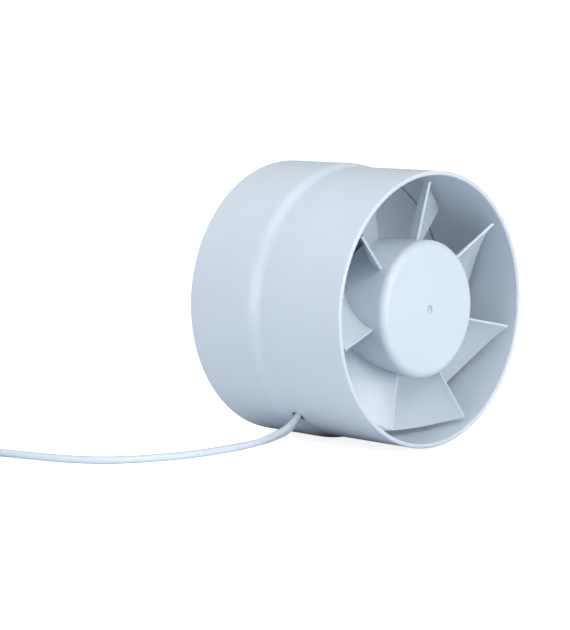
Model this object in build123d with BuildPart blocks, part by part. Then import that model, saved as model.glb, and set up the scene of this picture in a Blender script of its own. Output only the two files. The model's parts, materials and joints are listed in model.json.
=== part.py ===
from build123d import *
from math import acos, cos, degrees, radians, sin, sqrt, tan
import os

# Inline axial fan for 125 mm ducting: two casing shells, a seven-blade impeller and a shaded-pole motor.
#
# The fan lies on its side on z = 0 with the duct axis parallel to Y. Air enters at +Y and leaves at -Y,
# past the impeller. Depths are measured from the outlet rim towards +Y, and angles anticlockwise from +X
# as seen from the outlet. The origin is the middle of the fan's footprint. All sizes are in millimetres.

# Casing shells
casing_length = 89.3
inlet_radius = 62.5  # outside of the inlet shell
outlet_radius = 61.0  # outside of the outlet shell, which plugs into a 125 mm duct
casing_wall = 2.0
bore_radius = outlet_radius - casing_wall
inlet_bore_radius = inlet_radius - casing_wall
rim_round = 0.8
spigot_end = 40.0  # depth where the straight outlet spigot ends and its slight relief starts
relief_radius = 60.8  # outside of the relief at the shoulder's foot
flare_start, flare_end = 47.6, 52.0  # the sloping shoulder between the two shells' outsides
foot_round, shoulder_round = 7.0, 12.0
shoulder_depth = 49.2  # where the shells part on the shoulder
shoulder_thickness = 2.5
seam_depth = 45.4  # inside end of the outlet shell
seam_gap = 1.3
skirt_bore_radius = 60.1  # the outlet shell's skirt, which the inlet shell's tongue plugs into
tongue_radius = 59.95
snap_start, snap_end, snap_height, snap_slack = 47.2, 48.2, 0.3, 0.15

parting_share = (shoulder_depth - flare_start) / (flare_end - flare_start)
parting_radius = relief_radius + (inlet_radius - relief_radius) * parting_share

# Arms and motor plate, moulded with the inlet shell
arm_count = 3
arm_thickness = 3.2
arm_start, arm_end = 49.5, 57.5  # depths of the arm's edges
arm_root_radius = 28.8
arm_tip_radius = 61.2
plate_start, plate_end = 56.5, 58.5
plate_radius = 30.2
socket_start = 51.3
socket_bore_radius = 27.6
plate_window_radius = 9.0

# The lead's way in: a round hole through the shells and a channel along the lead arm
lead_angle = -128.5
hole_depth = 46.0
hole_radius = 3.0
lead_arm_thickness = 6.4
channel_start, channel_floor, channel_width = 43.2, 49.0, 3.6
channel_tip_radius = 58.7
clamp_radius, clamp_length, clamp_width, clamp_thickness = 45.0, 8.0, 15.0, 2.0
clamp_screw_offset, clamp_screw_radius, clamp_head_radius, clamp_head_height = 4.9, 1.1, 2.0, 1.5
clamp_screw_tip = 49.4
clamp_boss_end = 50.5

# Impeller
hub_radius, hub_rear_radius, hub_wall = 30.6, 30.0, 1.6
hub_face, hub_rear, hub_round = 2.65, 31.0, 3.6  # depths of the hub's face and open end
boss_radius, boss_end = 5.5, 8.0
rib_count, rib_thickness, rib_end = 6, 1.4, 6.5
gate_radius, gate_sink, gate_pip_radius, gate_pip_height = 1.9, 0.7, 0.6, 0.5
blade_count = 7
blade_tip_radius = 56.1
blade_thickness, blade_edge_round = 1.2, 0.25
blade_root_plane, blade_tip_plane = 27.0, 58.0  # section planes inside the hub wall and beyond the tip
first_blade_angle = 15.5
trailing_sweep, leading_sweep = 23.6, -20.3  # half angles of the blade's two straight edges
trailing_root_depth, trailing_tip_depth = 9.4, 2.5
leading_root_depth, leading_tip_depth = 29.3, 30.8
camber_root, camber_tip = 4.5, 4.8  # height of the blade's arc over its chord at the two planes
clip_thickness, clip_start, clip_end = 0.9, 5.2, 7.6

# Motor can and front cover
can_radius, can_wall = 27.4, 1.2
can_bore_radius = can_radius - can_wall
can_end = plate_start
cover_start, cover_end, cover_spigot_end = 10.8, 12.0, 14.0
cover_spigot_radius = 25.9
cover_spigot_bore = 24.0
lead_entry_radius = 3.9
grommet_bore_radius = 2.6
grommet_flange_radius = 5.0
grommet_inner, grommet_step, grommet_outer = 24.4, 25.6, 28.6

# Shaft, bearings and the parts on the shaft
shaft_radius, shaft_start, shaft_end = 2.0, 4.7, 54.8
running_clearance = 0.03
bearing_radius, bearing_length = 5.0, 5.0
seat_length = 0.6
boss_wall_radius = 8.2
pocket_radius = 6.4
front_bearing_start = 9.0
rear_bearing_end = 55.0
felt_margin = 0.6
retainer_thickness, retainer_bore_radius = 0.6, 3.2
spacer_radius = 3.8
washer_radius, washer_thickness = 4.6, 0.3

# Stator and rotor
stack_start, stack_end = 18.0, 38.0
rotor_radius = 12.5
air_gap = 0.4
shoe_outer_radius = 15.0
yoke_bore_radius = 22.0
pole_count, pole_width, first_pole_angle = 4, 9.0, 45.0
shoe_half_angle = 38.0
shading_slot = (23.5, 26.5)
shading_end_angle = 40.5
shading_bore_radius, shading_outer_radius = 13.2, 14.2
shading_overhang = 1.0
bobbin_inner, bobbin_outer, bobbin_wall = 15.3, 20.1, 0.8
bobbin_slack = 0.1
coil_thickness = 3.0
coil_round = 1.5
bar_count, bar_radius, bar_circle_radius = 16, 1.0, 11.2
end_ring_bore_radius, end_ring_radius, end_ring_thickness = 7.5, 12.3, 3.0

# Tie bolts through the motor and the motor plate
bolt_circle_radius, bolt_radius, bolt_hole_radius = 24.1, 1.5, 1.6
bolt_head_radius, bolt_head_height = 2.5, 1.8
bolt_end = 62.0
nut_flats, nut_height = 5.5, 2.4

# Wiring inside the motor
core_radius = 0.9
splice_radius, splice_length = 2.2, 9.0
fuse_size = (3.0, 8.0, 4.0)

# Mains lead: a flat two-core cable, and its ends
lead_width, lead_thickness = 4.9, 3.0
lead_exit_radius = 60.0  # inside the wall, where the inner lead and the outside lead meet
inner_lead_radius = 21.0  # where the sheath ends inside the motor
coil_centre = (-181.5, 98.2)
coil_inner_radius, coil_outer_radius = 19.6, 34.8
coil_height = 6.2
coil_lane_radius = 32.3
coil_layer_height = 4.6
coil_entry_angle, coil_exit_angle = 25.0, 180.0
tail_core_radius = 1.0
tail_core_gap = 0.05
ferrule_radius, ferrule_length = 0.7, 8.0

front = -casing_length / 2
axis_height = inlet_radius
duct_axis = Axis((0, 0, axis_height), (0, 1, 0))
along = Plane(origin=(0, front, axis_height), x_dir=(0, 1, 0), z_dir=(1, 0, 0))  # x is depth, y is radius
arm_angles = [lead_angle + arm * 360 / arm_count for arm in range(arm_count)]
bolt_angles = [angle + 180 / arm_count for angle in arm_angles]
pole_angles = [first_pole_angle + pole * 360 / pole_count for pole in range(pole_count)]

os.makedirs("parts", exist_ok=True)


def across(depth):
    """Plane square to the duct at a depth, facing the outlet."""
    return Plane(origin=(0, front + depth, axis_height), x_dir=(1, 0, 0), z_dir=(0, -1, 0))


def outward(angle, radius):
    """Plane facing away from the duct axis: its x is the depth, its y runs anticlockwise."""
    away = Vector(cos(radians(angle)), 0, sin(radians(angle)))
    return Plane(origin=Vector(0, front, axis_height) + away * radius, x_dir=(0, 1, 0), z_dir=away)


def place(radius, angle, depth):
    """Point at a radius, angle and depth in the duct."""
    return Vector(radius * cos(radians(angle)), front + depth, axis_height + radius * sin(radians(angle)))


def polar(radius, angle):
    """Point at a radius and angle in a plane."""
    return (radius * cos(radians(angle)), radius * sin(radians(angle)))


def half_section(*outline):
    """Face between (depth, radius) points, ready to revolve about the duct axis."""
    with BuildSketch(along) as section:
        with BuildLine():
            Polyline(*outline, close=True)
        make_face()
    return section.sketch


def ring_section(inner, outer, start, end):
    """Half section of a plain ring."""
    return half_section((start, inner), (start, outer), (end, outer), (end, inner))


def sector(depth, inner, outer, start_angle, end_angle):
    """Face of a ring sector in a plane square to the duct."""
    with BuildSketch(across(depth)) as face:
        with BuildLine():
            rim = CenterArc((0, 0), outer, start_angle, end_angle - start_angle)
            bore = CenterArc((0, 0), inner, start_angle, end_angle - start_angle)
            Line(rim @ 0, bore @ 0)
            Line(rim @ 1, bore @ 1)
        make_face()
    return face.sketch


def discs(depth, radius, places):
    """Circles at (radius, angle) places in a plane square to the duct."""
    with BuildSketch(across(depth)) as face:
        with Locations(*[polar(*spot) for spot in places]):
            Circle(radius)
    return face.sketch


def wire_path(points, radii):
    """Straight runs joined by tangent arcs."""
    with BuildLine() as path:
        FilletPolyline(*points, radius=radii)
    return path.wires()[0]


def arc_radii(points):
    """Largest even arcs: 0.45 of the shorter run over the tangent of half the turn, at each inner point."""
    radii = []
    for before, corner, after in zip(points, points[1:], points[2:]):
        run_in, run_out = Vector(corner) - Vector(before), Vector(after) - Vector(corner)
        half_turn = radians(run_in.get_angle(run_out)) / 2
        radii.append(0.45 * min(run_in.length, run_out.length) / tan(half_turn))
    return radii


def save(piece, name):
    """Label a finished piece and write it out."""
    piece.part.label = name
    export_step(piece.part, f"parts/{name}.step")


# ---------------------------------------------------------------- casing shells

with BuildPart() as outlet_casing:
    groove = skirt_bore_radius + snap_height
    revolve(
        half_section(
            (0, bore_radius),
            (0, outlet_radius),
            (spigot_end, outlet_radius),
            (flare_start, relief_radius),
            (shoulder_depth, parting_radius),
            (shoulder_depth, skirt_bore_radius),
            (snap_end + snap_slack, skirt_bore_radius),
            (snap_end, groove),
            (snap_start, groove),
            (snap_start - snap_slack, skirt_bore_radius),
            (seam_depth, skirt_bore_radius),
            (seam_depth, bore_radius),
        ),
        axis=duct_axis,
    )
    circles = outlet_casing.edges().filter_by(GeomType.CIRCLE)
    fillet(circles.group_by(Axis.Y)[0], radius=rim_round)
    foot_depth = front + flare_start
    foot = circles.filter_by_position(Axis.Y, foot_depth - snap_slack, foot_depth + snap_slack)
    fillet(foot.group_by(lambda edge: edge.radius)[-1], radius=foot_round)
    with BuildSketch(outward(lead_angle, bore_radius - casing_wall)):
        with Locations((hole_depth, 0)):
            Circle(hole_radius)
    extrude(amount=3 * casing_wall, mode=Mode.SUBTRACT)
save(outlet_casing, "outlet_casing")

with BuildPart() as inlet_casing:
    tongue_start = seam_depth + seam_gap
    shoulder_end = shoulder_depth + shoulder_thickness
    bead = tongue_radius + snap_height
    revolve(
        half_section(
            (tongue_start, bore_radius),
            (tongue_start, tongue_radius),
            (snap_start, tongue_radius),
            (snap_start + snap_slack, bead),
            (snap_end - snap_slack, bead),
            (snap_end, tongue_radius),
            (shoulder_depth, tongue_radius),
            (shoulder_depth, parting_radius),
            (flare_end, inlet_radius),
            (casing_length, inlet_radius),
            (casing_length, inlet_bore_radius),
            (shoulder_end + casing_wall, inlet_bore_radius),
            (shoulder_end, bore_radius),
        ),
        axis=duct_axis,
    )
    circles = inlet_casing.edges().filter_by(GeomType.CIRCLE)
    fillet(circles.group_by(Axis.Y)[-1], radius=rim_round)
    fillet(circles.group_by(lambda edge: edge.radius)[-1].sort_by(Axis.Y)[0], radius=shoulder_round)
    # motor plate and the socket that the can sits in
    revolve(ring_section(0, plate_radius, plate_start, plate_end), axis=duct_axis)
    revolve(ring_section(socket_bore_radius, plate_radius, socket_start, plate_start), axis=duct_axis)
    # arms
    for angle in arm_angles:
        thickness = lead_arm_thickness if angle == lead_angle else arm_thickness
        with BuildSketch(outward(angle, arm_root_radius)):
            with Locations(((arm_start + arm_end) / 2, 0)):
                RectangleRounded(arm_end - arm_start, thickness, thickness * 0.45)
        extrude(amount=arm_tip_radius - arm_root_radius)
    # the lead arm's front part, with its channel and the boss for the cable clamp
    with BuildSketch(outward(lead_angle, arm_root_radius + hub_wall)):
        with Locations(((channel_start + arm_start) / 2 + lead_arm_thickness / 4, 0)):
            Rectangle(arm_start - channel_start + lead_arm_thickness / 2, lead_arm_thickness)
    extrude(amount=channel_tip_radius - arm_root_radius - hub_wall)
    with BuildSketch(outward(lead_angle, clamp_radius - clamp_length / 2)):
        with Locations(((channel_start + clamp_boss_end) / 2, 0)):
            Rectangle(clamp_boss_end - channel_start, clamp_width)
    extrude(amount=clamp_length)
    with BuildSketch(outward(lead_angle, arm_root_radius)):
        with Locations(((channel_start + channel_floor) / 2, 0)):
            Rectangle(channel_floor - channel_start, channel_width)
    extrude(amount=bore_radius - arm_root_radius, mode=Mode.SUBTRACT)
    # holes: the lead's, the clamp screws', the tie bolts' and the window for the can's bearing
    with BuildSketch(outward(lead_angle, bore_radius - casing_wall)):
        with Locations((hole_depth, 0)):
            Circle(hole_radius)
    extrude(amount=2 * casing_wall, mode=Mode.SUBTRACT)
    clamp_screws_at = [
        (
            sqrt(clamp_radius**2 + clamp_screw_offset**2),
            lead_angle + side * degrees(acos(clamp_radius / sqrt(clamp_radius**2 + clamp_screw_offset**2))),
        )
        for side in (1, -1)
    ]
    extrude(
        discs(clamp_screw_tip, clamp_screw_radius, clamp_screws_at),
        amount=clamp_screw_tip - channel_start,
        mode=Mode.SUBTRACT,
    )
    bolts_at = [(bolt_circle_radius, angle) for angle in bolt_angles]
    extrude(
        discs(plate_end, bolt_hole_radius, bolts_at), amount=plate_end - plate_start, mode=Mode.SUBTRACT
    )
    extrude(
        discs(plate_end, plate_window_radius, [(0, 0)]), amount=plate_end - plate_start, mode=Mode.SUBTRACT
    )
save(inlet_casing, "inlet_casing")

# ---------------------------------------------------------------- impeller


def blade_section(angle, plane_radius, camber):
    """Section of a blade on a plane square to its middle radius, a band along an arc between its edges."""

    def corner(sweep, root_depth, tip_depth):
        reach = plane_radius / cos(radians(sweep))
        share = (reach - hub_radius) / (blade_tip_radius - hub_radius)
        return (root_depth + share * (tip_depth - root_depth), plane_radius * tan(radians(sweep)))

    with BuildSketch(outward(angle, plane_radius)) as section:
        with BuildLine():
            spine = SagittaArc(
                corner(trailing_sweep, trailing_root_depth, trailing_tip_depth),
                corner(leading_sweep, leading_root_depth, leading_tip_depth),
                camber,
                mode=Mode.PRIVATE,
            )
            centre = spine.arc_center
            sides = []
            for scale in (1 - blade_thickness / 2 / spine.radius, 1 + blade_thickness / 2 / spine.radius):
                spots = [centre + (spine @ share - centre) * scale for share in (0, 0.5, 1)]
                sides.append(ThreePointArc(*spots))
            Line(sides[0] @ 0, sides[1] @ 0)
            Line(sides[0] @ 1, sides[1] @ 1)
        make_face()
        fillet(section.vertices(), radius=blade_edge_round)
    return section.sketch


with BuildPart() as impeller:
    for blade in range(blade_count):
        blade_angle = first_blade_angle + blade * 360 / blade_count
        loft(
            [
                blade_section(blade_angle, blade_root_plane, camber_root),
                blade_section(blade_angle, blade_tip_plane, camber_tip),
            ]
        )
    hub_core_radius = hub_rear_radius - hub_wall / 2
    revolve(ring_section(0, hub_core_radius, 0, arm_start), axis=duct_axis, mode=Mode.SUBTRACT)
    revolve(
        ring_section(blade_tip_radius, inlet_radius + casing_length, -casing_wall, arm_start),
        axis=duct_axis,
        mode=Mode.SUBTRACT,
    )
    with BuildSketch(along) as hub_section:
        with BuildLine():
            Polyline(
                (hub_face, 0),
                (hub_face, hub_radius),
                (hub_rear, hub_rear_radius),
                (hub_rear, hub_rear_radius - hub_wall),
                (hub_face + hub_wall, hub_radius - hub_wall),
                (hub_face + hub_wall, 0),
                close=True,
            )
        make_face()
        corners = hub_section.vertices().group_by(Axis.Y)
        fillet(corners[-1], radius=hub_round)
        fillet(corners[-3], radius=hub_round - hub_wall)
    revolve(axis=duct_axis)
    # boss that the shaft is pushed into, and the ribs that hold it
    face_back = hub_face + hub_wall
    with BuildSketch(across(boss_end)):
        Circle(boss_radius)
    extrude(amount=boss_end - face_back)
    with BuildSketch(across(rib_end)):
        with PolarLocations((hub_radius - hub_wall) / 2, rib_count):
            Rectangle(hub_radius - hub_wall, rib_thickness)
        Circle(boss_radius + clip_thickness, mode=Mode.SUBTRACT)
    extrude(amount=rib_end - face_back)
    with BuildSketch(across(boss_end)):
        Circle(shaft_radius)
    extrude(amount=boss_end - shaft_start, mode=Mode.SUBTRACT)
    # sprue mark in the middle of the face
    with BuildSketch(across(hub_face + gate_sink)):
        Circle(gate_radius)
    extrude(amount=gate_sink, mode=Mode.SUBTRACT)
    with BuildSketch(across(hub_face + gate_sink)):
        Circle(gate_pip_radius)
    extrude(amount=gate_pip_height)
save(impeller, "impeller")

with BuildPart() as hub_clip:
    revolve(ring_section(boss_radius, boss_radius + clip_thickness, clip_start, clip_end), axis=duct_axis)
save(hub_clip, "hub_clip")

# ---------------------------------------------------------------- motor housing and bearings

with BuildPart() as motor_can:
    can_floor = can_end - can_wall
    rear_boss_start = rear_bearing_end - bearing_length - retainer_thickness
    revolve(
        half_section(
            (cover_end, can_bore_radius),
            (cover_end, can_radius),
            (can_end, can_radius),
            (can_end, 0),
            (rear_bearing_end, 0),
            (rear_bearing_end, bearing_radius),
            (rear_bearing_end - seat_length, bearing_radius),
            (rear_bearing_end - seat_length, pocket_radius),
            (rear_boss_start, pocket_radius),
            (rear_boss_start, boss_wall_radius),
            (can_floor, boss_wall_radius),
            (can_floor, can_bore_radius),
        ),
        axis=duct_axis,
    )
    with BuildSketch(outward(lead_angle, can_bore_radius - can_wall)):
        with Locations((hole_depth, 0)):
            Circle(lead_entry_radius)
    extrude(amount=3 * can_wall, mode=Mode.SUBTRACT)
    extrude(discs(can_end, bolt_hole_radius, bolts_at), amount=2 * can_wall, mode=Mode.SUBTRACT)
save(motor_can, "motor_can")

with BuildPart() as motor_cover:
    front_boss_end = front_bearing_start + bearing_length + retainer_thickness
    lip_start = front_bearing_start - seat_length
    revolve(
        half_section(
            (lip_start, shaft_radius + felt_margin),
            (lip_start, boss_wall_radius),
            (cover_start, boss_wall_radius),
            (cover_start, can_radius),
            (cover_end, can_radius),
            (cover_end, cover_spigot_radius),
            (cover_spigot_end, cover_spigot_radius),
            (cover_spigot_end, cover_spigot_bore),
            (cover_end, cover_spigot_bore),
            (cover_end, boss_wall_radius),
            (front_boss_end, boss_wall_radius),
            (front_boss_end, pocket_radius),
            (front_bearing_start + seat_length, pocket_radius),
            (front_bearing_start + seat_length, bearing_radius),
            (front_bearing_start, bearing_radius),
            (front_bearing_start, shaft_radius + felt_margin),
        ),
        axis=duct_axis,
    )
    extrude(
        discs(cover_spigot_end, bolt_hole_radius, bolts_at),
        amount=cover_spigot_end - cover_start,
        mode=Mode.SUBTRACT,
    )
save(motor_cover, "motor_cover")


def save_bearing(name, start):
    """Sintered bronze sleeve bearing."""
    with BuildPart() as bearing:
        revolve(
            ring_section(shaft_radius + running_clearance, bearing_radius, start, start + bearing_length),
            axis=duct_axis,
        )
        ends = bearing.edges().filter_by(GeomType.CIRCLE).group_by(lambda edge: edge.radius)[-1]
        chamfer(ends, length=seat_length / 2)
    save(bearing, name)


save_bearing("front_bearing", front_bearing_start)
save_bearing("rear_bearing", rear_bearing_end - bearing_length)

with BuildPart() as oil_felts:
    felt_length = bearing_length - 2 * felt_margin
    for start in (front_bearing_start, rear_bearing_end - bearing_length):
        felt_start = start + felt_margin
        revolve(
            ring_section(bearing_radius, pocket_radius, felt_start, felt_start + felt_length), axis=duct_axis
        )
save(oil_felts, "oil_felts")

with BuildPart() as bearing_retainers:
    for start in (front_boss_end - retainer_thickness, rear_boss_start):
        revolve(
            ring_section(retainer_bore_radius, pocket_radius, start, start + retainer_thickness),
            axis=duct_axis,
        )
save(bearing_retainers, "bearing_retainers")

with BuildPart() as tie_bolts:
    with BuildSketch(across(bolt_end)) as shanks:
        with Locations(*[polar(*spot) for spot in bolts_at]):
            Circle(bolt_radius)
    extrude(amount=bolt_end - cover_start)
    with BuildSketch(across(cover_start)):
        with Locations(*[polar(*spot) for spot in bolts_at]):
            Circle(bolt_head_radius)
    extrude(amount=bolt_head_height)
    chamfer(tie_bolts.edges().filter_by(GeomType.CIRCLE).group_by(Axis.Y)[0], length=bolt_radius / 4)
save(tie_bolts, "tie_bolts")

with BuildPart() as tie_nuts:
    with BuildSketch(across(plate_end + nut_height)):
        with Locations(*[polar(*spot) for spot in bolts_at]):
            RegularPolygon(nut_flats / 2, 6, major_radius=False)
            Circle(bolt_radius, mode=Mode.SUBTRACT)
    extrude(amount=nut_height)
save(tie_nuts, "tie_nuts")

# ---------------------------------------------------------------- rotor

with BuildPart() as shaft:
    revolve(ring_section(0, shaft_radius, shaft_start, shaft_end), axis=duct_axis)
    chamfer(shaft.edges().filter_by(GeomType.CIRCLE), length=shaft_radius / 5)
save(shaft, "shaft")

bars_at = [(bar_circle_radius, bar * 360 / bar_count) for bar in range(bar_count)]
stack_length = stack_end - stack_start

with BuildPart() as rotor_core:
    revolve(ring_section(shaft_radius, rotor_radius, stack_start, stack_end), axis=duct_axis)
    extrude(discs(stack_end, bar_radius, bars_at), amount=stack_length, mode=Mode.SUBTRACT)
save(rotor_core, "rotor_core")

with BuildPart() as squirrel_cage:
    extrude(discs(stack_end, bar_radius, bars_at), amount=stack_length)
    for start in (stack_start - end_ring_thickness, stack_end):
        revolve(
            ring_section(end_ring_bore_radius, end_ring_radius, start, start + end_ring_thickness),
            axis=duct_axis,
        )
save(squirrel_cage, "squirrel_cage")

front_gap = front_boss_end + washer_thickness / 2
rear_gap = rear_boss_start - washer_thickness / 2

with BuildPart() as rotor_spacers:
    front_stop, rear_stop = front_gap + washer_thickness, rear_gap - washer_thickness
    for start, end in ((front_stop, stack_start), (stack_end, rear_stop)):
        revolve(ring_section(shaft_radius, spacer_radius, start, end), axis=duct_axis)
save(rotor_spacers, "rotor_spacers")

with BuildPart() as thrust_washers:
    for start in (front_gap, rear_gap - washer_thickness):
        revolve(ring_section(shaft_radius, washer_radius, start, start + washer_thickness), axis=duct_axis)
save(thrust_washers, "thrust_washers")

# ---------------------------------------------------------------- stator

stator_bore_radius = rotor_radius + air_gap
stack_middle = (stack_start + stack_end) / 2

with BuildPart() as stator_core:
    revolve(ring_section(yoke_bore_radius, can_bore_radius, stack_start, stack_end), axis=duct_axis)
    for angle in pole_angles:
        with BuildSketch(outward(angle, (stator_bore_radius + shoe_outer_radius) / 2)):
            with Locations((stack_middle, 0)):
                Rectangle(stack_length, pole_width)
        extrude(amount=yoke_bore_radius - stator_bore_radius)
        extrude(
            sector(
                stack_end,
                stator_bore_radius,
                shoe_outer_radius,
                angle - shoe_half_angle,
                angle + shoe_half_angle,
            ),
            amount=stack_length,
        )
    for angle in pole_angles:
        extrude(
            sector(
                stack_end,
                stator_bore_radius - air_gap / 2,
                shading_outer_radius,
                angle + shading_slot[0],
                angle + shading_slot[1],
            ),
            amount=stack_length,
            mode=Mode.SUBTRACT,
        )
    extrude(discs(stack_end, bolt_hole_radius, bolts_at), amount=stack_length, mode=Mode.SUBTRACT)
save(stator_core, "stator_core")

with BuildPart() as shading_rings:
    for angle in pole_angles:
        ring_from, ring_to = angle + shading_slot[0], angle + shading_end_angle
        extrude(
            sector(
                stack_end + shading_overhang, shading_bore_radius, shading_outer_radius, ring_from, ring_to
            ),
            amount=stack_length + 2 * shading_overhang,
        )
        extrude(
            sector(
                stack_end,
                shading_bore_radius - air_gap,
                shading_outer_radius + air_gap,
                angle + shading_slot[1],
                angle + shoe_half_angle,
            ),
            amount=stack_length,
            mode=Mode.SUBTRACT,
        )
save(shading_rings, "shading_rings")


def pole_frame(plane, half_length, half_width, round_radius=0.0):
    """Rectangle around a pole, centred on the stack."""
    with BuildSketch(plane) as face:
        with Locations((stack_middle, 0)):
            if round_radius:
                RectangleRounded(2 * half_length, 2 * half_width, round_radius)
            else:
                Rectangle(2 * half_length, 2 * half_width)
    return face.sketch


tube_length = stack_length / 2 + bobbin_slack
tube_width = pole_width / 2 + bobbin_slack
flange_length = tube_length + bobbin_wall + coil_thickness
flange_width = tube_width + bobbin_wall + coil_thickness
flange_rear = stack_middle + flange_length

with BuildPart() as coil_bobbins:
    for angle in pole_angles:
        extrude(
            pole_frame(outward(angle, bobbin_inner), tube_length + bobbin_wall, tube_width + bobbin_wall),
            amount=bobbin_outer - bobbin_inner,
        )
        for start in (bobbin_inner, bobbin_outer - bobbin_wall):
            extrude(pole_frame(outward(angle, start), flange_length, flange_width), amount=bobbin_wall)
        extrude(
            pole_frame(outward(angle, bobbin_inner), tube_length, tube_width),
            amount=bobbin_outer - bobbin_inner,
            mode=Mode.SUBTRACT,
        )
save(coil_bobbins, "coil_bobbins")

with BuildPart() as stator_coils:
    coil_inner, coil_depth = bobbin_inner + bobbin_wall, bobbin_outer - bobbin_inner - 2 * bobbin_wall
    for angle in pole_angles:
        winding = coil_thickness - bobbin_slack
        extrude(
            pole_frame(
                outward(angle, coil_inner),
                tube_length + bobbin_wall + winding,
                tube_width + bobbin_wall + winding,
                coil_round,
            ),
            amount=coil_depth,
        )
        extrude(
            pole_frame(outward(angle, coil_inner), tube_length + bobbin_wall, tube_width + bobbin_wall),
            amount=coil_depth,
            mode=Mode.SUBTRACT,
        )
save(stator_coils, "stator_coils")

# ---------------------------------------------------------------- wiring inside the motor


with BuildPart() as inner_lead:
    with BuildSketch(outward(lead_angle, inner_lead_radius)):
        with Locations((hole_depth, 0)):
            SlotOverall(lead_width, lead_thickness)
    extrude(amount=lead_exit_radius - inner_lead_radius)
save(inner_lead, "inner_lead")

with BuildPart() as can_grommet:
    for start, end, radius in (
        (grommet_inner, grommet_step, grommet_flange_radius),
        (grommet_step, can_radius, lead_entry_radius),
        (can_radius, grommet_outer, grommet_flange_radius),
    ):
        with BuildSketch(outward(lead_angle, start)):
            with Locations((hole_depth, 0)):
                Circle(radius)
                Circle(grommet_bore_radius, mode=Mode.SUBTRACT)
        extrude(amount=end - start)
save(can_grommet, "can_grommet")

with BuildPart() as cable_clamp:
    with BuildSketch(outward(lead_angle, clamp_radius - clamp_length / 2)):
        with Locations((channel_start - clamp_thickness / 2, 0)):
            Rectangle(clamp_thickness, clamp_width)
    extrude(amount=clamp_length)
    fillet(cable_clamp.edges().filter_by(Axis.Y), radius=clamp_thickness / 2)
    lead_front = hole_depth - lead_width / 2
    with BuildSketch(outward(lead_angle, clamp_radius - clamp_length / 4)):
        with Locations(((channel_start + lead_front) / 2, 0)):
            Rectangle(lead_front - channel_start, lead_thickness)
    extrude(amount=clamp_length / 2)
    extrude(
        discs(channel_start, clamp_screw_radius, clamp_screws_at),
        amount=clamp_thickness,
        mode=Mode.SUBTRACT,
    )
save(cable_clamp, "cable_clamp")

with BuildPart() as clamp_screws:
    clamp_front = channel_start - clamp_thickness
    extrude(
        discs(clamp_screw_tip, clamp_screw_radius, clamp_screws_at), amount=clamp_screw_tip - clamp_front
    )
    extrude(discs(clamp_front, clamp_head_radius, clamp_screws_at), amount=clamp_head_height)
    heads = clamp_screws.edges().filter_by(GeomType.CIRCLE).group_by(Axis.Y)[0]
    fillet(heads, radius=clamp_head_height / 2)
save(clamp_screws, "clamp_screws")

# the two cores leave the sheath, turn along the can and end in crimped splices with the motor's own wires
splice_angle = lead_angle + 52
wire_ring_radius = 18.0
core_depths = (hole_depth - core_radius - 0.1, hole_depth + core_radius + 0.1)
splice_depths = (45.2, 50.0)
coil_wire_radius = 0.6
coil_wire_angles = (pole_angles[-1] - 1, pole_angles[-1] + 9)
wire_bend, core_bend = 1.2, 3.0


def splice_plane(depth, distance):
    """Plane across a splice, facing anticlockwise, at a distance along it from its middle."""
    tangent = Vector(-sin(radians(splice_angle)), 0, cos(radians(splice_angle)))
    middle = place(wire_ring_radius, splice_angle, depth)
    return Plane(origin=middle + tangent * distance, x_dir=(0, 1, 0), z_dir=tangent)


def swept_wire(points, radii, radius):
    """Round wire along straight runs and arcs."""
    path = wire_path(points, radii)
    with BuildPart() as wire:
        with BuildSketch(Plane(origin=path @ 0, z_dir=path % 0)):
            Circle(radius)
        sweep(path=path)
    return wire.part


with BuildPart() as splice_caps:
    for depth in splice_depths:
        with BuildSketch(splice_plane(depth, -splice_length / 2)):
            Circle(splice_radius)
        extrude(amount=splice_length)
save(splice_caps, "splice_caps")

with BuildPart() as lead_cores:
    for core_depth, splice_depth in zip(core_depths, splice_depths):
        core_route = [
            place(inner_lead_radius, lead_angle, core_depth),
            place(inner_lead_radius - core_bend * 0.9, lead_angle, core_depth),
            splice_plane(splice_depth, -splice_length / 2 - core_bend).origin,
            splice_plane(splice_depth, -splice_length / 2).origin,
        ]
        add(swept_wire(core_route, [core_bend * 0.6, core_bend], core_radius))
save(lead_cores, "lead_cores")

with BuildPart() as coil_leads:
    for splice_depth, wire_angle in zip(splice_depths, coil_wire_angles):
        wire_route = [
            splice_plane(splice_depth, splice_length / 2).origin,
            splice_plane(splice_depth, splice_length / 2 + 2 * wire_bend).origin,
            place(wire_ring_radius, wire_angle, splice_depth),
            place(wire_ring_radius, wire_angle, flange_rear - bobbin_slack),
        ]
        add(swept_wire(wire_route, [wire_bend, wire_bend], coil_wire_radius))
save(coil_leads, "coil_leads")

with BuildPart() as thermal_fuse:
    fuse_height, fuse_length, fuse_width = fuse_size
    with BuildSketch(across(flange_rear + fuse_height)):
        with Locations(Location(polar(wire_ring_radius, pole_angles[0]), pole_angles[0])):
            RectangleRounded(fuse_width, fuse_length, fuse_width / 4)
    extrude(amount=fuse_height)
save(thermal_fuse, "thermal_fuse")

# ---------------------------------------------------------------- mains lead outside the fan

floor = lead_thickness / 2


def coil_point(angle, height=floor):
    """Point on the coil's outer lane."""
    return Vector(*coil_centre, height) + Vector(*polar(coil_lane_radius, angle), 0)


lead_route = [
    place(lead_exit_radius, lead_angle, hole_depth),
    place(lead_exit_radius + 6.5, lead_angle, hole_depth),
    Vector(-45.9, 8.5, 5.4),
    Vector(-51.5, 15.0, 2.4),
    Vector(-63.0, 18.2, floor),
    Vector(-82.0, 18.6, floor),
    Vector(-100.5, 23.7, floor),
    Vector(-117.0, 32.0, floor),
    Vector(-128.0, 45.0, floor),
    Vector(-134.5, 62.0, floor),
    Vector(-139.5, 79.3, floor),
    Vector(-145.4, 96.3, floor),
    coil_point(coil_entry_angle),
]
lead_radii = arc_radii(lead_route)
print("lead arcs", [round(radius, 1) for radius in lead_radii])

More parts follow.
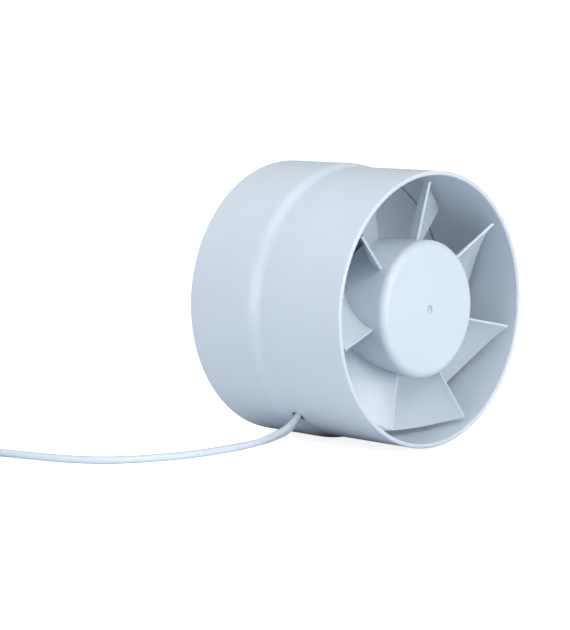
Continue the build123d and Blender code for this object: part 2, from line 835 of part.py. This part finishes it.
with BuildPart() as lead_coil:
    with BuildSketch(Plane(origin=(*coil_centre, 0), x_dir=(1, 0, 0), z_dir=(0, -1, 0))):
        with Locations(((coil_inner_radius + coil_outer_radius) / 2, coil_height / 2)):
            RectangleRounded(coil_outer_radius - coil_inner_radius, coil_height, floor * 0.9)
    revolve(axis=Axis((*coil_centre, 0), (0, 0, 1)))
save(lead_coil, "lead_coil")


def flat_lead(points, name):
    """Flat cable along a route, its wide side level where it starts."""
    path = wire_path(points, arc_radii(points))
    heading = path % 0
    with BuildPart() as tube:
        face_x = heading.cross(Vector(0, 0, 1))
        with BuildSketch(Plane(origin=path @ 0, x_dir=face_x, z_dir=heading)) as face:
            SlotOverall(lead_width, lead_thickness)
        sweep(path=path)
    print(name, "volume over section", round(tube.part.volume / face.sketch.area, 1), "length", path.length)
    return tube.part


with BuildPart() as mains_lead:
    add(flat_lead(lead_route[::-1], "mains_lead"))
save(mains_lead, "mains_lead")

tail_end = Vector(-213.0, 54.0, floor)
tail_route = [
    coil_point(coil_exit_angle, coil_layer_height),
    Vector(-214.4, 86.4, coil_layer_height),
    Vector(-214.8, 75.4, 2.2),
    Vector(-214.2, 64.6, floor),
    tail_end,
]
with BuildPart() as lead_tail:
    add(flat_lead(tail_route, "lead_tail"))
save(lead_tail, "lead_tail")

tail_heading = (tail_end - tail_route[-2]).normalized()
tail_side = Vector(0, 0, 1).cross(tail_heading)


def tail_core(side, spread):
    """Route of one stripped core from the end of the sheath to its tinned end."""
    start = tail_end + tail_side * side * (tail_core_radius + tail_core_gap)
    bend = start + tail_heading * 8
    near = bend + tail_heading * 12 + tail_side * side * spread + Vector(0, 0, tail_core_radius - floor)
    far = near + tail_heading * 12 + tail_side * side * spread * 0.4
    return [start, bend, near, far]


tail_cores = {"tail_core_brown": tail_core(1, 3.0), "tail_core_blue": tail_core(-1, 2.2)}
for name, route in tail_cores.items():
    with BuildPart() as core:
        add(swept_wire(route, arc_radii(route), tail_core_radius))
    save(core, name)

with BuildPart() as tinned_ends:
    for route in tail_cores.values():
        with BuildSketch(Plane(origin=route[-1], z_dir=route[-1] - route[-2])):
            Circle(ferrule_radius)
        extrude(amount=ferrule_length)
save(tinned_ends, "tinned_ends")
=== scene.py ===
import json
from math import cos, pi, radians, sin

import bpy
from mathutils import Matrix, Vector


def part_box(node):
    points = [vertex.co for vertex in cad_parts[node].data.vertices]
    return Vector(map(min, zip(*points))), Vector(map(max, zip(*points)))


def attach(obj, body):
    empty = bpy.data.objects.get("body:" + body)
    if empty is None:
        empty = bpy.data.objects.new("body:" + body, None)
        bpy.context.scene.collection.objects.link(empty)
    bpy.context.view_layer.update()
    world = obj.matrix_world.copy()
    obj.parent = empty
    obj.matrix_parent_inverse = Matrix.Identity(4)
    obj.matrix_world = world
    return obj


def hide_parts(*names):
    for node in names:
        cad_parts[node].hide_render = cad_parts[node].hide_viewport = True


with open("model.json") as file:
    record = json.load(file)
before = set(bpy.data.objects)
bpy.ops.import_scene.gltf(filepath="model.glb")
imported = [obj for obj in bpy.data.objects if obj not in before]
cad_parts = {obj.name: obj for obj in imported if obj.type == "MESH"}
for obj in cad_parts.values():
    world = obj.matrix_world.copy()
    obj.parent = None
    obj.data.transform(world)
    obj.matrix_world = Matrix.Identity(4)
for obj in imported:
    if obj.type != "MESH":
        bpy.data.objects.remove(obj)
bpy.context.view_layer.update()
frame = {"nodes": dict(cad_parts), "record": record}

CASING_LOW, CASING_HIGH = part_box("inlet_casing")
AXIS_HEIGHT = (CASING_LOW.z + CASING_HIGH.z) / 2

# View of the photograph: seen from the outlet side, a little from above, through a long lens
VIEW_AZIMUTH, VIEW_ELEVATION = radians(-45.8), radians(6.8)
VIEW_DISTANCE = 1.00085
VIEW_RIGHT, VIEW_UP = -0.03324, 0.05626
LENS = 125.7

# Stage
FLOOR_WHITE, FLOOR_GLOW = (0.80, 0.80, 0.80), 0.85
STAGE_ROUGHNESS = 0.7
DISH_FLAT, DISH_ROUND, DISH_HEIGHT, DISH_SIDES = 3, 1, 6, 64
TABLE_DROP, TABLE_REACH, TABLE_GREY = 0.0001, 5, (0.74, 0.78, 0.84)
PAINTED_SHADOW_STRETCH = (1, 0.6, 0)
PAINTED_SHADOW_EDGE = (0.010, 0.042)  # painted shadow: the table is black nearer the middle of the fan, and plain farther out, deepening the fan's own shade
SKY_BRIGHT, SKY_DIM = 0.62, 0.30
SKY_TOWARDS = (0, -0.8, 0.6)
SKY_TINT, LAMP_TINT = (0.85, 0.93, 1.0), (1.0, 0.985, 0.955)
LAMPS = {  # place, width and power
    "key": ((-0.4, -1.1, 1.15), 0.9, 9.5),
    "top": ((-0.4, 0.1, 1.5), 1.2, 7),
    "side": ((-1.5, 0.15, 0.1), 0.9, 8.2),
    "low": ((0.15, -1.0, 0.02), 0.5, 5.8),
}

# Colours of the plastics
PALE_ABS, PALE_PVC = (0.605, 0.665, 0.735), (0.64, 0.70, 0.76)

# Mains lead, as in the CAD source
LEAD_WIDTH, LEAD_THICKNESS = 0.0049, 0.0030
FLOOR_LANE = LEAD_THICKNESS / 2
HOLE_ANGLE = radians(-128.5)
HOLE_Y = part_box("outlet_casing")[0].y + 0.046
EXIT_RADIUS, EXIT_RUN = 0.060, 0.0065
COIL_CENTRE = Vector((-0.1815, 0.0982))
COIL_OUTER_LANE, COIL_INNER_LANE = 0.0323, 0.0222
COIL_LAYER_HEIGHT = 0.0046
COIL_ENTRY, COIL_EXIT = radians(25), radians(180)
COIL_STEPS = 16
COIL_TURNS = 4
CLIMB_START, CLIMB_TURNS = 2.1, 0.4  # turns wound before the step up to the second layer, and its length
SPLINE_STEPS, EDGE_STEPS = 8, 5


# ---------------------------------------------------------------- camera


def make_camera():
    """Camera at the photograph's angle."""
    back = Vector(
        (
            sin(VIEW_AZIMUTH) * cos(VIEW_ELEVATION),
            -cos(VIEW_AZIMUTH) * cos(VIEW_ELEVATION),
            sin(VIEW_ELEVATION),
        )
    )
    right = Vector((cos(VIEW_AZIMUTH), sin(VIEW_AZIMUTH), 0))
    up = back.cross(right)
    camera = bpy.data.objects.new("camera", bpy.data.cameras.new("camera"))
    camera.data.lens = LENS
    camera.location = right * VIEW_RIGHT + up * VIEW_UP + back * VIEW_DISTANCE
    camera.rotation_mode = "QUATERNION"
    camera.rotation_quaternion = (-back).to_track_quat("-Z", "Y")
    bpy.context.collection.objects.link(camera)
    bpy.context.scene.camera = camera


# ---------------------------------------------------------------- mains lead


def lead_route():
    """The lead's points from the hole to the coil, each with the roll of its flat side."""
    away = Vector((cos(HOLE_ANGLE), 0, sin(HOLE_ANGLE)))
    hole = Vector((0, HOLE_Y, AXIS_HEIGHT)) + away * EXIT_RADIUS
    return [
        (hole, 132),
        (hole + away * EXIT_RUN, 130),
        (Vector((-0.0459, 0.0085, 0.0054)), 120),
        (Vector((-0.0515, 0.0150, 0.0024)), 100),
        (Vector((-0.0630, 0.0182, FLOOR_LANE)), 90),
        (Vector((-0.0820, 0.0186, FLOOR_LANE)), 90),
        (Vector((-0.1005, 0.0237, FLOOR_LANE)), 90),
        (Vector((-0.1170, 0.0320, FLOOR_LANE)), 90),
        (Vector((-0.1280, 0.0450, FLOOR_LANE)), 90),
        (Vector((-0.1345, 0.0620, FLOOR_LANE)), 90),
        (Vector((-0.1395, 0.0793, FLOOR_LANE)), 90),
        (Vector((-0.1454, 0.0963, FLOOR_LANE)), 90),
    ]


def coil_route():
    """Turns wound inwards on the floor layer, then outwards on top of it."""
    turning = COIL_TURNS * 2 * pi + COIL_EXIT - COIL_ENTRY
    steps = round(turning / (2 * pi / COIL_STEPS))
    reach = 2 / (1 + cos(2 * pi / COIL_STEPS) / 2 + 0.5)  # the spline cuts inside its control points
    pitch = (COIL_OUTER_LANE - COIL_INNER_LANE) / 2
    route = []
    for step in range(steps + 1):
        turns = step * turning / steps / (2 * pi)
        left = turning / (2 * pi) - turns
        lane = max(COIL_INNER_LANE, COIL_OUTER_LANE - pitch * min(turns, left))
        climb = min(max((turns - CLIMB_START) / CLIMB_TURNS, 0), 1)
        height = FLOOR_LANE + climb * (COIL_LAYER_HEIGHT - FLOOR_LANE)
        angle = COIL_ENTRY + turning * step / steps
        spot = COIL_CENTRE + Vector((cos(angle), sin(angle))) * lane * reach
        route.append((Vector((*spot, height)), 90))
    return route


def tail_route():
    """From the coil's top layer down to the floor, to where the cores are stripped."""
    return [
        (Vector((-0.2144, 0.0864, COIL_LAYER_HEIGHT)), 90),
        (Vector((-0.2148, 0.0754, 0.0022)), 90),
        (Vector((-0.2142, 0.0646, FLOOR_LANE)), 90),
        (Vector((-0.2130, 0.0540, FLOOR_LANE)), 90),
    ]


def make_lead():
    """Flat cable on one smooth spline, as a mesh, with the points of its centreline."""
    route = lead_route() + coil_route() + tail_route()
    data = bpy.data.curves.new("lead_spline", "CURVE")
    data.dimensions = "3D"
    data.twist_mode = "Z_UP"
    data.bevel_resolution = EDGE_STEPS
    data.resolution_u = SPLINE_STEPS
    data.use_fill_caps = True
    spline = data.splines.new("NURBS")
    spline.points.add(len(route) - 1)
    for point, (spot, roll) in zip(spline.points, route):
        point.co = (*spot, 1)
        point.tilt = radians(roll)
    spline.order_u = 3
    spline.use_endpoint_u = True
    guide = bpy.data.objects.new("lead_spline", data)
    centreline = [vertex.co.copy() for vertex in bpy.data.meshes.new_from_object(guide).vertices]
    data.extrude = (LEAD_WIDTH - LEAD_THICKNESS) / 2
    data.bevel_depth = LEAD_THICKNESS / 2
    lead = bpy.data.objects.new("flat_lead", bpy.data.meshes.new_from_object(guide))
    bpy.context.collection.objects.link(lead)
    return lead, centreline


# ---------------------------------------------------------------- materials


class Nodes:
    """A material's node tree, with short calls for the nodes used here."""

    def __init__(self, name, colour, roughness, metallic=0.0):
        self.material = bpy.data.materials.new(name)
        self.material.use_nodes = True
        self.tree = self.material.node_tree
        self.shader = self.tree.nodes["Principled BSDF"]
        self.shader.inputs["Base Color"].default_value = (*colour, 1)
        self.shader.inputs["Roughness"].default_value = roughness
        self.shader.inputs["Metallic"].default_value = metallic
        self.place = self.add("ShaderNodeTexCoord").outputs["Object"]

    def add(self, kind, **settings):
        node = self.tree.nodes.new(kind)
        for key, value in settings.items():
            setattr(node, key, value)
        return node

    def link(self, source, target):
        self.tree.links.new(source, target)

    def noise(self, scale, detail=3.0, stretch=None):
        """Noise, with its scale per metre; stretch squeezes it along chosen axes."""
        node = self.add("ShaderNodeTexNoise")
        node.inputs["Scale"].default_value = scale
        node.inputs["Detail"].default_value = detail
        source = self.place
        if stretch:
            mapping = self.add("ShaderNodeMapping")
            mapping.inputs["Scale"].default_value = stretch
            self.link(source, mapping.inputs["Vector"])
            source = mapping.outputs["Vector"]
        self.link(source, node.inputs["Vector"])
        return node.outputs["Fac"]

    def reach(self, stretch):
        """Distance from the row frame's origin, in metres, with each axis stretched."""
        length = self.add("ShaderNodeVectorMath", operation="LENGTH")
        mapping = self.add("ShaderNodeMapping")
        mapping.inputs["Scale"].default_value = stretch
        self.link(self.place, mapping.inputs["Vector"])
        self.link(mapping.outputs["Vector"], length.inputs[0])
        return length.outputs["Value"]

    def ramp(self, value, low, high, start, end):
        """Maps start..end of a value to low..high."""
        node = self.add("ShaderNodeMapRange")
        node.inputs["From Min"].default_value = start
        node.inputs["From Max"].default_value = end
        node.inputs["To Min"].default_value = low
        node.inputs["To Max"].default_value = high
        self.link(value, node.inputs["Value"])
        return node.outputs["Result"]

    def tint(self, value, low, high, start=0.3, end=0.7):
        """Base colour between two colours, by a value."""
        node = self.add("ShaderNodeValToRGB")
        node.color_ramp.elements[0].position = start
        node.color_ramp.elements[0].color = (*low, 1)
        node.color_ramp.elements[1].position = end
        node.color_ramp.elements[1].color = (*high, 1)
        self.link(value, node.inputs["Fac"])
        self.link(node.outputs["Color"], self.shader.inputs["Base Color"])

    def rough(self, value, low, high, start=0.3, end=0.7):
        self.link(self.ramp(value, low, high, start, end), self.shader.inputs["Roughness"])

    def bump(self, value, height, strength=1.0, under=None):
        """Bump of a height in metres, on top of another bump if one is given."""
        node = self.add("ShaderNodeBump")
        node.inputs["Strength"].default_value = strength
        node.inputs["Distance"].default_value = height
        self.link(value, node.inputs["Height"])
        if under is not None:
            self.link(under.outputs["Normal"], node.inputs["Normal"])
        self.link(node.outputs["Normal"], self.shader.inputs["Normal"])
        return node


def shade(colour, factor):
    """A colour made lighter or darker."""
    return tuple(min(1.0, channel * factor) for channel in colour)


def moulded_plastic(name, colour, roughness):
    """Injection-moulded plastic: fine mould texture, faint flow clouds and an uneven gloss."""
    nodes = Nodes(name, colour, roughness)
    clouds = nodes.noise(28, 4)
    nodes.tint(clouds, shade(colour, 0.975), shade(colour, 1.012))
    nodes.rough(nodes.noise(160, 3), roughness * 0.85, roughness * 1.2)
    waves = nodes.bump(nodes.noise(55, 2), 0.00025, 0.25)
    nodes.bump(nodes.noise(2600, 2), 0.00003, 0.35, waves)
    nodes.shader.inputs["Coat Weight"].default_value = 0.15
    nodes.shader.inputs["Coat Roughness"].default_value = 0.2
    return nodes.material


def soft_jacket(name, colour, roughness):
    """Extruded PVC: drawn lightly along its length, a little uneven."""
    nodes = Nodes(name, colour, roughness)
    nodes.tint(nodes.noise(220, 4), shade(colour, 0.965), shade(colour, 1.02))
    nodes.rough(nodes.noise(700, 2), roughness * 0.85, roughness * 1.2)
    nodes.bump(nodes.noise(1800, 3), 0.00006, 0.4)
    return nodes.material


def metal(name, colour, roughness, stretch):
    """Bare or plated metal with tooling marks."""
    nodes = Nodes(name, colour, roughness, 1.0)
    marks = nodes.noise(900, 4, stretch)
    nodes.tint(nodes.noise(120, 3), shade(colour, 0.86), shade(colour, 1.06))
    nodes.rough(marks, roughness * 0.75, roughness * 1.3)
    nodes.bump(marks, 0.00002, 0.5)
    return nodes.material


def laminated_steel(name, colour):
    """Half-millimetre laminations stacked along the shaft."""
    nodes = Nodes(name, colour, 0.45, 1.0)
    sheets = nodes.add("ShaderNodeTexWave", bands_direction="Y")
    sheets.inputs["Scale"].default_value = 1000
    sheets.inputs["Distortion"].default_value = 0.3
    nodes.link(nodes.place, sheets.inputs["Vector"])
    nodes.tint(sheets.outputs["Fac"], shade(colour, 0.6), shade(colour, 1.1), 0.1, 0.5)
    nodes.bump(sheets.outputs["Fac"], 0.0001, 0.6)
    return nodes.material


def wound_wire(name, colour):
    """Close turns of enamelled wire, with painted shade in the grooves between them."""
    nodes = Nodes(name, colour, 0.3, 0.8)
    turns = nodes.add("ShaderNodeTexWave", bands_direction="DIAGONAL")
    turns.inputs["Scale"].default_value = 800
    turns.inputs["Distortion"].default_value = 1.5
    nodes.link(nodes.place, turns.inputs["Vector"])
    # painted shade: the colour darkens in bands in the grooves between turns and is slightly lighter on
    # their crests
    nodes.tint(turns.outputs["Fac"], shade(colour, 0.35), shade(colour, 1.1), 0.05, 0.6)
    nodes.bump(turns.outputs["Fac"], 0.0002, 0.8)
    return nodes.material


def black_enamel(name, colour):
    """Satin enamel on drawn steel, with a light orange peel."""
    nodes = Nodes(name, colour, 0.38)
    nodes.tint(nodes.noise(90, 4), shade(colour, 0.7), shade(colour, 1.5))
    nodes.rough(nodes.noise(400, 3), 0.3, 0.5)
    nodes.bump(nodes.noise(1300, 2), 0.00004, 0.5)
    return nodes.material


def wool_felt(name, colour):
    """Pressed fibres soaked with oil."""
    nodes = Nodes(name, colour, 0.95)
    fibres = nodes.noise(3000, 6, (1, 0.3, 1))
    nodes.tint(fibres, shade(colour, 0.6), shade(colour, 1.15))
    nodes.bump(fibres, 0.0003, 0.8)
    return nodes.material


def slot_colour(name):
    """Colour that the record gives a material slot."""
    for entry in frame["record"]["materials"]:
        if entry["slot"] == name:
            return tuple(entry["base_color"][:3])
    raise KeyError(name)


def make_materials():
    """One finished material for each of the record's slots."""
    made = {}
    for name, roughness in (("casing_plastic", 0.36), ("impeller_plastic", 0.34)):
        made[name] = moulded_plastic(name, PALE_ABS, roughness)
    for name in ("nylon", "fuse_body", "splice_nylon", "clamp_plastic", "fibre"):
        made[name] = moulded_plastic(name, slot_colour(name), 0.5)
    for name in ("core_insulation", "brown_insulation", "blue_insulation", "grommet_rubber"):
        made[name] = soft_jacket(name, slot_colour(name), 0.45)
    made["lead_jacket"] = soft_jacket("lead_jacket", PALE_PVC, 0.5)
    for name, roughness, stretch in (
        ("spring_steel", 0.35, (1, 1, 1)),
        ("plated_steel", 0.32, (1, 1, 1)),
        ("ground_steel", 0.2, (1, 12, 1)),
        ("cage_aluminium", 0.4, (1, 1, 1)),
        ("bearing_bronze", 0.5, (1, 1, 1)),
        ("copper", 0.3, (1, 1, 1)),
        ("tin", 0.35, (1, 1, 1)),
    ):
        made[name] = metal(name, slot_colour(name), roughness, stretch)
    made["lamination_steel"] = laminated_steel("lamination_steel", slot_colour("lamination_steel"))
    made["copper_wire"] = wound_wire("copper_wire", slot_colour("copper_wire"))
    made["can_paint"] = black_enamel("can_paint", slot_colour("can_paint"))
    made["felt"] = wool_felt("felt", slot_colour("felt"))
    return made


def dress_nodes(materials):
    """Gives every CAD node its slot's material."""
    for entry in frame["record"]["subparts"]:
        node = frame["nodes"][entry["node"]]
        node.data.materials.clear()
        node.data.materials.append(materials[entry["material_slot"]])


# ---------------------------------------------------------------- stage


def make_sheet(name, corners, faces, colour):
    """Smooth stage surface."""
    mesh = bpy.data.meshes.new(name)
    mesh.from_pydata(corners, [], faces)
    mesh.shade_smooth()
    sheet = bpy.data.objects.new(name, mesh)
    bpy.context.collection.objects.link(sheet)
    nodes = Nodes(name, colour, STAGE_ROUGHNESS)
    sheet.data.materials.append(nodes.material)
    return sheet, nodes


def make_floor():
    """White dish that only the camera sees."""
    profile = [(DISH_FLAT, 0)]
    for turn in range(10, 91, 10):
        reach = DISH_FLAT + DISH_ROUND * sin(radians(turn))
        profile.append((reach, DISH_ROUND * (1 - cos(radians(turn)))))
    profile.append((DISH_FLAT + DISH_ROUND, DISH_HEIGHT))
    corners = []
    for reach, height in profile:
        for side in range(DISH_SIDES):
            angle = 2 * pi * side / DISH_SIDES
            corners.append((reach * cos(angle), reach * sin(angle), height))
    faces = [list(range(DISH_SIDES))]
    for ring in range(0, len(corners) - DISH_SIDES, DISH_SIDES):
        outer = ring + DISH_SIDES
        for side in range(DISH_SIDES):
            after = (side + 1) % DISH_SIDES
            faces.append((ring + side, outer + side, outer + after, ring + after))
    floor, nodes = make_sheet("floor", corners, faces, FLOOR_WHITE)
    nodes.shader.inputs["Emission Color"].default_value = (1, 1, 1, 1)
    nodes.shader.inputs["Emission Strength"].default_value = FLOOR_GLOW
    floor.visible_diffuse = False
    floor.visible_glossy = False
    floor.visible_shadow = False


def make_table():
    """Duller sheet just under the floor, unseen, that blocks the light and throws it back; black under
    the middle of the fan as a painted shadow.
    """
    far = TABLE_REACH
    corners = [(x, y, -TABLE_DROP) for x, y in ((-far, -far), (far, -far), (far, far), (-far, far))]
    table, nodes = make_sheet("table", corners, [range(4)], TABLE_GREY)
    # painted shadow: the table's colour runs from black under the middle of the fan to its plain grey
    # farther out
    nodes.tint(nodes.reach(PAINTED_SHADOW_STRETCH), (0, 0, 0), TABLE_GREY, *PAINTED_SHADOW_EDGE)
    table.visible_camera = False


def make_light(name, spot, aim, size, power):
    """Soft square light."""
    data = bpy.data.lights.new(name, "AREA")
    data.size = size
    data.energy = power
    data.color = LAMP_TINT
    light = bpy.data.objects.new(name, data)
    light.location = spot
    light.rotation_mode = "QUATERNION"
    light.rotation_quaternion = (Vector(aim) - Vector(spot)).to_track_quat("-Z", "Y")
    bpy.context.collection.objects.link(light)


def make_world():
    """White surroundings, brightest above the outlet and dimmest below the inlet."""
    world = bpy.data.worlds.new("studio")
    world.use_nodes = True
    tree = world.node_tree
    tree.nodes["Background"].inputs["Color"].default_value = (*SKY_TINT, 1)
    place = tree.nodes.new("ShaderNodeTexCoord")
    towards = tree.nodes.new("ShaderNodeVectorMath")
    towards.operation = "DOT_PRODUCT"
    towards.inputs[1].default_value = SKY_TOWARDS
    blend = tree.nodes.new("ShaderNodeMapRange")
    blend.inputs["From Min"].default_value = -1
    blend.inputs["To Min"].default_value = SKY_DIM
    blend.inputs["To Max"].default_value = SKY_BRIGHT
    tree.links.new(place.outputs["Generated"], towards.inputs[0])
    tree.links.new(towards.outputs["Value"], blend.inputs["Value"])
    tree.links.new(blend.outputs["Result"], tree.nodes["Background"].inputs["Strength"])
    bpy.context.scene.world = world


def make_lights():
    """Broad key light from the camera's side, with weaker ones above, beside and low in front."""
    for name, (spot, size, power) in LAMPS.items():
        make_light(name, spot, (0, 0, AXIS_HEIGHT), size, power)


# ---------------------------------------------------------------- scene

make_camera()
lead, centreline = make_lead()
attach(lead, "casing")
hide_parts("mains_lead", "lead_coil", "lead_tail")
materials = make_materials()
dress_nodes(materials)
lead.data.materials.append(materials["lead_jacket"])
make_floor()
make_table()
make_world()
make_lights()
bpy.context.scene.view_settings.view_transform = "Standard"
